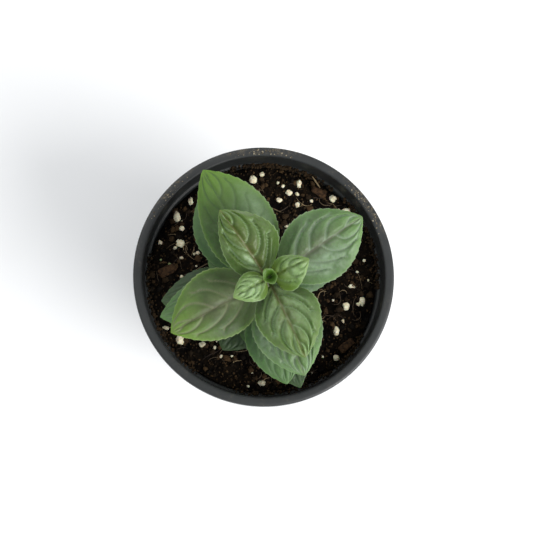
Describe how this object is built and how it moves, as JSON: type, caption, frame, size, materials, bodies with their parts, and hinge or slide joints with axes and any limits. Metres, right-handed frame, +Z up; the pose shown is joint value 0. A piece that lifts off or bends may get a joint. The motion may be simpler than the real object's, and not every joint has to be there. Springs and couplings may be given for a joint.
{
  "type": "potted mint plant",
  "caption": "Young mint plant with paired serrated leaves on an upright square stem, growing in a round dark plastic nursery pot of potting mix.",
  "frame": {"origin": "centre of the pot's foot, on the surface it stands on", "axes": "+Z up along the pot's axis; +X towards the side where leaf_3b reaches out, +Y towards the side where leaf_4a reaches out"},
  "size_m": [0.102, 0.102, 0.1456],
  "materials": {
    "pot": "injection-moulded dark grey polypropylene, satin, dusted with dry soil on the lip",
    "soil": "moist dark brown peat potting mix with fine fibres and crumbs",
    "stem": "green square herb stem flushed with brown purple, fine hairs",
    "crown_leaf": "young pale green quilted leaf with a soft silvery sheen",
    "upper_leaf": "mid green quilted leaf with sunken veins, serrated edge and soft sheen",
    "lower_leaf": "older dark green leaf with sunken veins and serrated edge",
    "perlite": "off-white expanded perlite, matte and pitted",
    "bark": "composted bark chip, brown and fibrous"
  },
  "bodies": {
    "root": {"bark_chip_1": "bark", "bark_chip_2": "bark", "bark_chip_3": "bark", "bark_chip_4": "bark", "bud_leaf_a": "crown_leaf", "bud_leaf_b": "crown_leaf", "leaf_1a": "crown_leaf", "leaf_1b": "crown_leaf", "leaf_2a": "upper_leaf", "leaf_2b": "upper_leaf", "leaf_3a": "upper_leaf", "leaf_3b": "upper_leaf", "leaf_4a": "upper_leaf", "leaf_4b": "upper_leaf", "leaf_5a": "lower_leaf", "leaf_5b": "lower_leaf", "leaf_6a": "lower_leaf", "leaf_6b": "lower_leaf", "leaf_7a": "lower_leaf", "leaf_7b": "lower_leaf", "leaf_8a": "lower_leaf", "leaf_8b": "lower_leaf", "leaf_9a": "lower_leaf", "leaf_9b": "lower_leaf", "perlite_01": "perlite", "perlite_02": "perlite", "perlite_03": "perlite", "perlite_04": "perlite", "perlite_05": "perlite", "perlite_06": "perlite", "perlite_07": "perlite", "perlite_08": "perlite", "perlite_09": "perlite", "perlite_10": "perlite", "perlite_11": "perlite", "perlite_12": "perlite", "perlite_13": "perlite", "perlite_14": "perlite", "perlite_15": "perlite", "perlite_16": "perlite", "perlite_17": "perlite", "perlite_18": "perlite", "perlite_19": "perlite", "perlite_20": "perlite", "perlite_21": "perlite", "perlite_22": "perlite", "pot": "pot", "potting_soil": "soil", "side_leaf_a": "lower_leaf", "side_leaf_b": "lower_leaf", "stem": "stem"}
  },
  "joints": []
}
